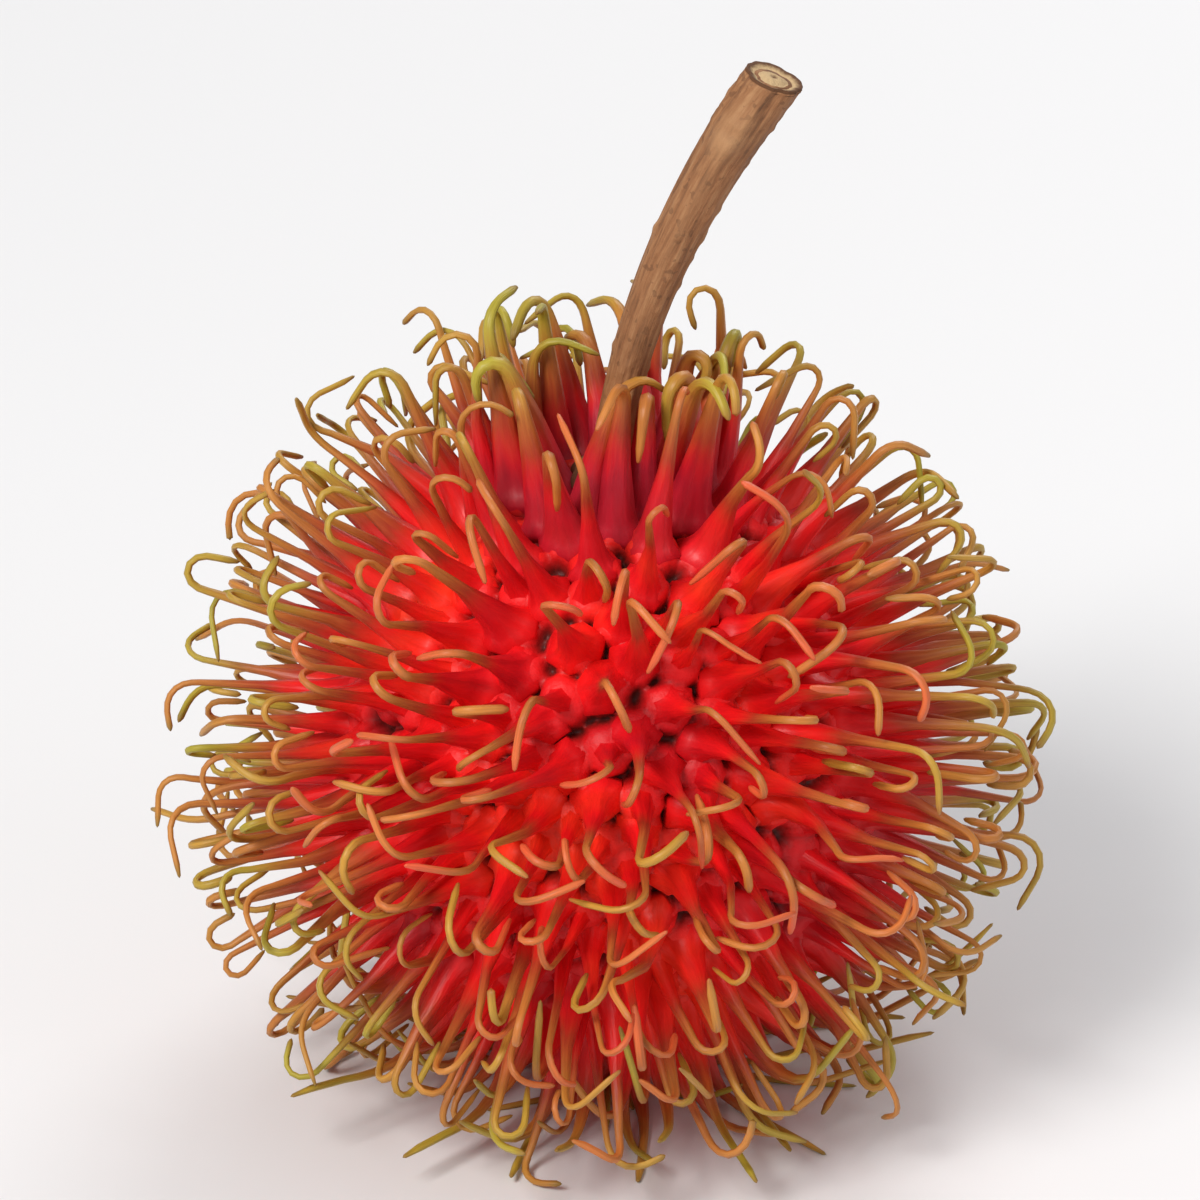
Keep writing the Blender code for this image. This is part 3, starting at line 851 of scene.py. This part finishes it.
def ramp(tree, factor, places, *colours):
    """The colour output of a Color Ramp with these colours at these places."""
    node = new_node(tree, "ValToRGB", Fac=factor)
    elements = node.color_ramp.elements
    while len(elements) < len(places):
        elements.new(1.0)
    for element, place, colour in zip(elements, places, colours):
        element.position = place
        element.color = (*colour, 1.0)
    return node.outputs["Color"]


def mix(tree, factor, first, second, blend="MIX"):
    """The colour output of a Mix node; the inputs are sockets, numbers or colours."""
    node = new_node(tree, "Mix")
    node.data_type = "RGBA"
    node.blend_type = blend
    node.clamp_factor = True
    for place, value in zip(MIX_INPUTS, (factor, first, second)):
        feed(tree, node.inputs[place], value)
    return node.outputs[MIX_OUTPUT]


def link_surface(tree, shader, colour, height, strength, distance):
    """Links a colour to the shader, and a height through a Bump node to its normal."""
    tree.links.new(colour, shader.inputs["Base Color"])
    node = new_node(tree, "Bump", Strength=strength, Distance=distance, Height=height)
    tree.links.new(node.outputs["Normal"], shader.inputs["Normal"])


def flesh_colour(tree, place, colours):
    """Red flesh in soft patches from crimson to orange-red, the same on the rind and the roots."""
    patches = noise(tree, place, scale=75)
    return ramp(tree, patches, FLESH_STOPS, colours.crimson, colours.red, colours.orange)


def rind_material(colours):
    """Fleshy red skin, with painted shade in the pits and creases between the roots, and fine
    pores.
    """
    material, tree, shader, place = new_material("rind_skin", roughness=0.55, coat=0.03)
    # Painted shade: the pits and creases between the roots are darkened towards the pits' colour,
    # by an amount that a noise varies
    (pit_and_painted_shade,) = read_attributes(tree, "pit_and_painted_shade")
    grain = math_node(tree, "ADD", noise(tree, place, scale=900), PIT_SHADE)
    shade = math_node(tree, "MULTIPLY", pit_and_painted_shade, grain)
    colour = mix(tree, shade, flesh_colour(tree, place, colours), colours.pit_and_painted_shade)
    pores = noise(tree, place, scale=2600, detail=2)
    link_surface(tree, shader, colour, pores, strength=0.35, distance=FINE_BUMP)
    return material


def hair_material(colours):
    """Hair flesh: as red as the rind at the root, dull russet and ochre on the way, yellow-green at
    the hook, and a brighter orange painted light on the hooks of the side that faces the camera,
    with streaks along each hair that are partly its own striping and partly painted highlight and
    shade of its fine ridges, and a moist sheen."""
    material, tree, shader, place = new_material("hair_flesh", roughness=0.46, coat=0.07)
    labels = ("along", "tone", "crown", "lit_side", "grain")
    along, tone, crown, lit_side, grain = read_attributes(tree, *labels)
    streak = noise(tree, grain, scale=1.6)
    shifted = along
    for pattern, share in zip((tone, streak, crown, lit_side), COLOUR_SHIFTS):
        shifted = math_node(tree, "MULTIPLY_ADD", pattern, share, shifted)
    shifted = math_node(tree, "SUBTRACT", shifted, COLOUR_START)
    ripe = math_node(tree, "MULTIPLY_ADD", crown, RIPE_CROWN, tone)
    patches = noise(tree, place, scale=60)
    ripe = math_node(tree, "MULTIPLY_ADD", patches, RIPE_SPREAD, ripe)
    ripe = math_node(tree, "SUBTRACT", ripe, RIPE_START)
    hook = ramp(tree, ripe, RIPE_STOPS, colours.amber, colours.gold, colours.lime)
    hook = mix(tree, ramp(tree, along, DRY_TIP, BLACK, WHITE), hook, colours.tip)
    # Painted light: hooks on the side that faces the camera and the key light are mixed towards a
    # brighter orange, more for hairs of low tone
    lit_by_tone = math_node(tree, "MULTIPLY_ADD", tone, *LIT_BY_TONE)
    hook = mix(tree, math_node(tree, "MULTIPLY", lit_side, lit_by_tone), hook, colours.flame)
    outer = ramp(tree, shifted, SHAFT_STOPS, colours.red, colours.russet, colours.ochre)
    outer = mix(tree, ramp(tree, shifted, INTO_HOOK, BLACK, WHITE), outer, hook)
    flesh = mix(tree, crown, flesh_colour(tree, place, colours), colours.crown)
    colour = mix(tree, ramp(tree, shifted, LEAVE_RED, BLACK, WHITE), flesh, outer)
    # The streaks along each hair, partly its own striping and partly painted highlight and shade of
    # its fine ridges, scale its colour up and down
    shade = math_node(tree, "MULTIPLY_ADD", streak, *STREAK_SHADE)
    grey = new_node(tree, "CombineColor", Red=shade, Green=shade, Blue=shade)
    colour = mix(tree, 1.0, colour, grey.outputs["Color"], "MULTIPLY")
    ridges = noise(tree, grain, scale=3.2, detail=2)
    link_surface(tree, shader, colour, ridges, strength=0.4, distance=FINE_BUMP)
    return material


def bark_material(colours):
    """Light brown bark: streaks along the stalk, pale pores, greener and redder near the crown."""
    material, tree, shader, place = new_material("stalk_bark", roughness=0.72)
    dark, pale = colours.bark_dark, colours.bark_pale
    grain, along, relief = read_attributes(tree, "grain", "along", "relief")
    streak = noise(tree, grain, scale=2.2, detail=5, roughness=0.65)
    colour = ramp(tree, streak, BARK_STOPS, dark, colours.bark, pale)
    specks = noise(tree, place, scale=1500, detail=1)
    specks = math_node(tree, "GREATER_THAN", specks, SPECK_SIZE)
    colour = mix(tree, math_node(tree, "MULTIPLY", specks, SPECK_SHADE), colour, dark)
    pores = math_node(tree, "MULTIPLY", relief, PORE_RISE)
    pores = math_node(tree, "SMOOTH_MAX", pores, 0.0, PORE_SOFT)
    colour = mix(tree, math_node(tree, "MULTIPLY", pores, PORE_PALE), colour, pale)
    young = math_node(tree, "MULTIPLY_ADD", along, -YOUNG_REACH, 1.0)
    young = math_node(tree, "MULTIPLY", math_node(tree, "MAXIMUM", young, 0.0), YOUNG_SHADE)
    colour = mix(tree, young, colour, colours.young_bark)
    fibres = noise(tree, place, scale=2500, detail=2)
    fibres = math_node(tree, "MULTIPLY_ADD", fibres, GRAIN_SHARE, streak)
    link_surface(tree, shader, colour, fibres, strength=0.55, distance=COARSE_BUMP)
    return material


def cut_material(colours):
    """The cut: pale wood with a darker pith and rim."""
    material, tree, shader, place = new_material("cut_wood", roughness=0.85)
    (across,) = read_attributes(tree, "across")
    speckle = noise(tree, place, scale=3200)
    shifted = math_node(tree, "MULTIPLY_ADD", speckle, CUT_SPECKLE, across)
    dark, wood = colours.bark_dark, colours.cut_wood
    colour = ramp(tree, shifted, CUT_STOPS, dark, wood, wood, dark)
    link_surface(tree, shader, colour, speckle, strength=0.6, distance=COARSE_BUMP)
    return material


def calyx_material(colours):
    """Dry calyx lobes: pale and reddish in the middle, browner and darker towards the tips."""
    material, tree, shader, place = new_material("calyx_skin", roughness=0.70)
    (across,) = read_attributes(tree, "across")
    speckle = noise(tree, place, scale=1300, detail=4)
    shifted = math_node(tree, "MULTIPLY_ADD", speckle, CALYX_SPECKLE, across)
    young, old, dry = colours.young_bark, colours.bark, colours.bark_dark
    colour = ramp(tree, shifted, CALYX_STOPS, young, old, dry)
    link_surface(tree, shader, colour, speckle, strength=0.5, distance=COARSE_BUMP)
    return material


def property_maker(kind, **fixed):
    """A function that makes panel properties of one kind."""

    def make(name, description, default):
        return kind(name=name, description=description, default=default, **fixed)

    return make


a_length = property_maker(FloatProperty, min=0.0, precision=5, unit="LENGTH")
a_number = property_maker(FloatProperty)
a_count = property_maker(IntProperty, min=1)
a_colour = property_maker(FloatVectorProperty, min=0.0, max=1.0, size=3, subtype="COLOR")


class FruitSizes(bpy.types.PropertyGroup):
    """Sizes of the skin and of its hairs."""

    skin_width: a_length("Skin width", "Width of the skin without hairs", 0.0370)
    skin_depth: a_length("Skin depth", "Depth of the skin without hairs", 0.0360)
    skin_height: a_length("Skin height", "Height of the skin without hairs", 0.0412)
    skin_lift: a_length("Skin lift", "How high the hairs hold the skin", 0.0042)
    hair_count: a_count("Hairs", "Number of main hairs", 340)
    fine_count: a_count("Fine hairs", "Number of finer hairs", 260)
    hair_length: a_length("Hair length", "Mean length along a hair", 0.0150)
    root_radius: a_length("Root radius", "Radius of a hair at its root", 0.00140)
    tip_radius: a_length("Tip radius", "Radius of a hair near its tip", 0.00025)


class StalkSizes(bpy.types.PropertyGroup):
    """Sizes of the stalk and its calyx."""

    stalk_length: a_length("Length", "Length of the stalk above the crown", 0.0320)
    stalk_lean: a_number("Lean", "Lean at the cut in degrees", 34.0)
    stalk_foot_radius: a_length("Foot radius", "Radius in the seat", 0.0023)
    stalk_waist_radius: a_length("Waist radius", "Radius above the calyx", 0.00118)
    stalk_end_radius: a_length("End radius", "Radius at the cut", 0.00200)
    calyx_radius: a_length("Calyx radius", "Mean reach of the calyx lobes", 0.0028)
    cut_slant: a_number("Cut slant", "Slant in degrees", 14.0)


class FruitColours(bpy.types.PropertyGroup):
    """Colours of the rind, the hairs and the stalk."""

    crimson: a_colour("Crimson", "Shaded patches of flesh", (0.56, 0.004, 0.012))
    red: a_colour("Red", "Most of the flesh", (0.84, 0.008, 0.009))
    orange: a_colour("Orange-red", "Warm patches of flesh", (0.92, 0.050, 0.014))
    crown: a_colour("Crown", "Hairs round the stalk", (0.42, 0.012, 0.035))
    # Painted shade: the dark red that the pits and creases between the roots are darkened towards
    pit_and_painted_shade: a_colour("Pit", "Pits between the roots", (0.105, 0.006, 0.003))
    russet: a_colour("Russet", "Middle of the hairs", (0.45, 0.048, 0.016))
    ochre: a_colour("Ochre", "Start of the hooks", (0.47, 0.150, 0.028))
    # Painted light: a brighter orange for the hooks on the side that faces the camera and the key
    # light
    flame: a_colour("Flame", "Hooks on the ripest cheek", (0.76, 0.110, 0.038))
    amber: a_colour("Amber", "Ripe hooks", (0.52, 0.205, 0.040))
    gold: a_colour("Gold", "Most hooks", (0.49, 0.270, 0.038))
    lime: a_colour("Yellow-green", "Hooks near the stalk", (0.41, 0.335, 0.032))
    tip: a_colour("Tip", "Dried tips", (0.30, 0.17, 0.030))
    bark: a_colour("Bark", "Bark of the stalk", (0.29, 0.125, 0.050))
    bark_dark: a_colour("Dark bark", "Dark streaks", (0.12, 0.050, 0.021))
    bark_pale: a_colour("Pale bark", "Pale streaks and pores", (0.42, 0.22, 0.100))
    young_bark: a_colour("Young bark", "Bark near the crown", (0.46, 0.19, 0.055))
    cut_wood: a_colour("Cut wood", "The cut end", (0.55, 0.38, 0.20))


class StageSettings(bpy.types.PropertyGroup):
    """Camera and light."""

    elevation: a_number("Elevation", "Camera height in degrees", 27.0)
    lens: a_number("Lens", "Focal length in millimetres", 300.0)
    fill: a_number("Fill", "Share of the frame that the fruit fills", 0.86)
    backdrop: a_colour("Backdrop", "Floor and surroundings", (0.78, 0.78, 0.79))


class RAMBUTAN_OT_rind(bpy.types.Operator):
    """Build the rind with its mounds and creases"""

    bl_idname = "rambutan.rind"
    bl_label = "Rind"

    def execute(self, context):
        shape = fruit_shape()
        sites = main_sites(shape)
        sites = np.concatenate([sites, fine_sites(shape, sites)])
        grid, pit_and_painted_shade = rind_surface(shape, shape.middle + sites * shape.half)
        poles = np.stack([grid[0, 0].mean(axis=0), grid[0, -1].mean(axis=0)])[None]
        attributes = {"pit_and_painted_shade": (pit_and_painted_shade, np.zeros((1, 2)))}
        piece = make_piece("rind", grid, poles, attributes)
        settle(piece, rind_material(context.scene.rambutan_colours), "rind", "fruit")
        return {"FINISHED"}


class RAMBUTAN_OT_hairs(bpy.types.Operator):
    """Build the hairs along the solids' own curves"""

    bl_idname = "rambutan.hairs"
    bl_label = "Hairs"

    def execute(self, context):
        shape = fruit_shape()
        material = hair_material(context.scene.rambutan_colours)
        draw = np.random.default_rng(SEED + 3)
        for name, hairs in zip(("hairs", "fine_hairs"), grow_all_hairs(shape)):
            piece = make_hairs(name, shape, hairs, draw)
            settle(piece, material, "rind", "fruit")
        return {"FINISHED"}


class RAMBUTAN_OT_stalk(bpy.types.Operator):
    """Build the stalk's bark and its cut end"""

    bl_idname = "rambutan.stalk"
    bl_label = "Stalk"

    def execute(self, context):
        shape = fruit_shape()
        colours = context.scene.rambutan_colours
        rings, line, upward, along, relief, grain = stalk_surface(shape)
        sink = np.array([0.0, 0.0, STALK_SINK])
        ends = np.stack([line[0] - sink, line[-1]])
        far = np.repeat(along[:, None], STALK_COLUMNS, axis=1)
        attributes = {
            "along": (with_sunk(far), np.array([[0.0, 1.0]])),
            "relief": (with_sunk(relief), np.zeros((1, 2))),
            "grain": (with_sunk(grain), np.zeros((1, 2, 3))),
        }
        tube = np.concatenate([rings[:1] - sink, rings])
        piece = make_piece("stalk_bark", tube[None], ends[None], attributes)
        settle(piece, bark_material(colours), "bark", "stalk")

        across = np.linspace(1, 0, CUT_RINGS, endpoint=False)[:, None, None]
        dish = CUT_RISE + CUT_DISH * np.sin(across * math.pi * CUT_WAVES)
        face = line[-1] + (rings[-1] - line[-1]) * across * CUT_REACH + upward * dish
        tube = np.concatenate([face[:1] - upward * CUT_DEPTH, face])
        ends = np.stack([line[-1] - upward * CUT_DEPTH, line[-1] + upward * CUT_RISE])
        spread = np.repeat(with_sunk(across)[..., 0], STALK_COLUMNS, axis=1)
        attributes = {"across": (spread, np.array([[1.0, 0.0]]))}
        piece = make_piece("cut_end", tube[None], ends[None], attributes)
        settle(piece, cut_material(colours), "bark")
        return {"FINISHED"}


class RAMBUTAN_OT_calyx(bpy.types.Operator):
    """Build the five-lobed calyx under the stalk"""

    bl_idname = "rambutan.calyx"
    bl_label = "Calyx"

    def execute(self, context):
        shape = fruit_shape()
        turn = turns(CALYX_COLUMNS)
        lobe = np.abs(np.cos(CALYX_LOBES / 2 * turn)) ** LOBE_POWER
        reach = shape.calyx_radius * (LOBE_REACH[0] + LOBE_REACH[1] * lobe)
        inner = CALYX_INNER * shape.calyx_radius
        way = np.linspace(0, math.pi, CALYX_ROWS)[:, None]
        out = inner + (reach - inner) * np.sin(way) ** CALYX_ROUND
        thick = -np.cos(way) * np.where(way < math.pi / 2, CALYX_TOP, CALYX_UNDER)
        height = shape.crown + CALYX_LIFT + thick - CALYX_DROOP * np.sin(way) ** 2 * lobe
        grid = round_axis(out, turn, height)[None]
        poles = np.array([[[0, 0, grid[0, 0, 0, 2]], [0, 0, grid[0, -1, 0, 2]]]])
        across = out / reach.max()
        attributes = {"across": (across, np.full((1, 2), CALYX_MIDDLE))}
        piece = make_piece("calyx", grid, poles, attributes)
        settle(piece, calyx_material(context.scene.rambutan_colours), "bark", "stalk")
        return {"FINISHED"}


def add_light(target, name, place, size, power, colour):
    """A square area light at a place, turned to a target."""
    light = bpy.data.lights.new(name, "AREA")
    light.size = size
    light.energy = power
    light.color = colour
    lamp = add_object(name, light)
    lamp.location = place
    lamp.rotation_mode = "QUATERNION"
    lamp.rotation_quaternion = (target - Vector(place)).to_track_quat("-Z", "Y")


class RAMBUTAN_OT_stage(bpy.types.Operator):
    """Build the floor, the lights and the camera"""

    bl_idname = "rambutan.stage"
    bl_label = "Stage"

    def execute(self, context):
        scene = context.scene
        stage = scene.rambutan_stage
        low, high = (Vector(corner) for corner in CAD_BOX)
        middle = (low + high) / 2
        mesh = bpy.data.meshes.new("floor")
        corners = np.array([(-1, -1, 0), (1, -1, 0), (1, 1, 0), (-1, 1, 0)]) * FLOOR_REACH
        mesh.from_pydata(corners, [], [(0, 1, 2, 3)])
        floor = add_object("floor", mesh)
        material, _, shader, _ = new_material("pale_floor", roughness=0.6, specular=0.5)
        shader.inputs["Base Color"].default_value = (*stage.backdrop, 1.0)
        mesh.materials.append(material)

        world = bpy.data.worlds.new("studio")
        scene.world = world
        world.use_nodes = True
        background = world.node_tree.nodes["Background"]
        background.inputs["Color"].default_value = (*stage.backdrop, 1.0)
        background.inputs["Strength"].default_value = WORLD_LIGHT
        for light in LIGHTS:
            add_light(middle, *light)
        scene.view_settings.view_transform = "Standard"

        tilt = math.radians(stage.elevation)
        back = Vector((0.0, -math.cos(tilt), math.sin(tilt)))
        camera = add_object("camera", bpy.data.cameras.new("camera"))
        camera.data.lens = stage.lens
        reach = (high.y - low.y) / 2
        top = high.z * math.cos(tilt)
        bottom = reach * (math.cos(tilt) - 1)
        aim = Vector((middle.x, 0.0, (top + bottom) / 2 / math.cos(tilt)))
        distance = (top - bottom) / stage.fill / camera.data.sensor_width * stage.lens
        camera.location = aim + back * distance
        camera.rotation_mode = "QUATERNION"
        camera.rotation_quaternion = (-back).to_track_quat("-Z", "Y")
        camera.data.clip_start = CLIP_START
        scene.camera = camera
        return {"FINISHED"}


class RAMBUTAN_PT_panel(bpy.types.Panel):
    """The fruit's pieces, sizes and colours"""

    bl_label = "Rambutan"
    bl_idname = "RAMBUTAN_PT_panel"
    bl_space_type = "VIEW_3D"
    bl_region_type = "UI"
    bl_category = "Rambutan"

    def draw(self, context):
        for operator in OPERATORS:
            self.layout.operator(operator.bl_idname)
        for name, group in GROUPS.items():
            box = self.layout.box()
            box.label(text=group.__doc__)
            for field in group.__annotations__:
                box.prop(getattr(context.scene, name), field)


GROUPS = {
    "rambutan_fruit": FruitSizes,
    "rambutan_stalk": StalkSizes,
    "rambutan_colours": FruitColours,
    "rambutan_stage": StageSettings,
}
OPERATORS = (
    RAMBUTAN_OT_rind,
    RAMBUTAN_OT_hairs,
    RAMBUTAN_OT_stalk,
    RAMBUTAN_OT_calyx,
    RAMBUTAN_OT_stage,
)


def register():
    for part in (*GROUPS.values(), *OPERATORS, RAMBUTAN_PT_panel):
        bpy.utils.register_class(part)
    for name, group in GROUPS.items():
        setattr(bpy.types.Scene, name, PointerProperty(type=group))


def unregister():
    for name in GROUPS:
        delattr(bpy.types.Scene, name)
    for part in (RAMBUTAN_PT_panel, *reversed(OPERATORS), *GROUPS.values()):
        bpy.utils.unregister_class(part)


def main():
    register()
    bpy.ops.rambutan.stage()
    bpy.ops.rambutan.rind()
    bpy.ops.rambutan.hairs()
    bpy.ops.rambutan.stalk()
    bpy.ops.rambutan.calyx()
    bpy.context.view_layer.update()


if __name__ == "__main__":
    main()
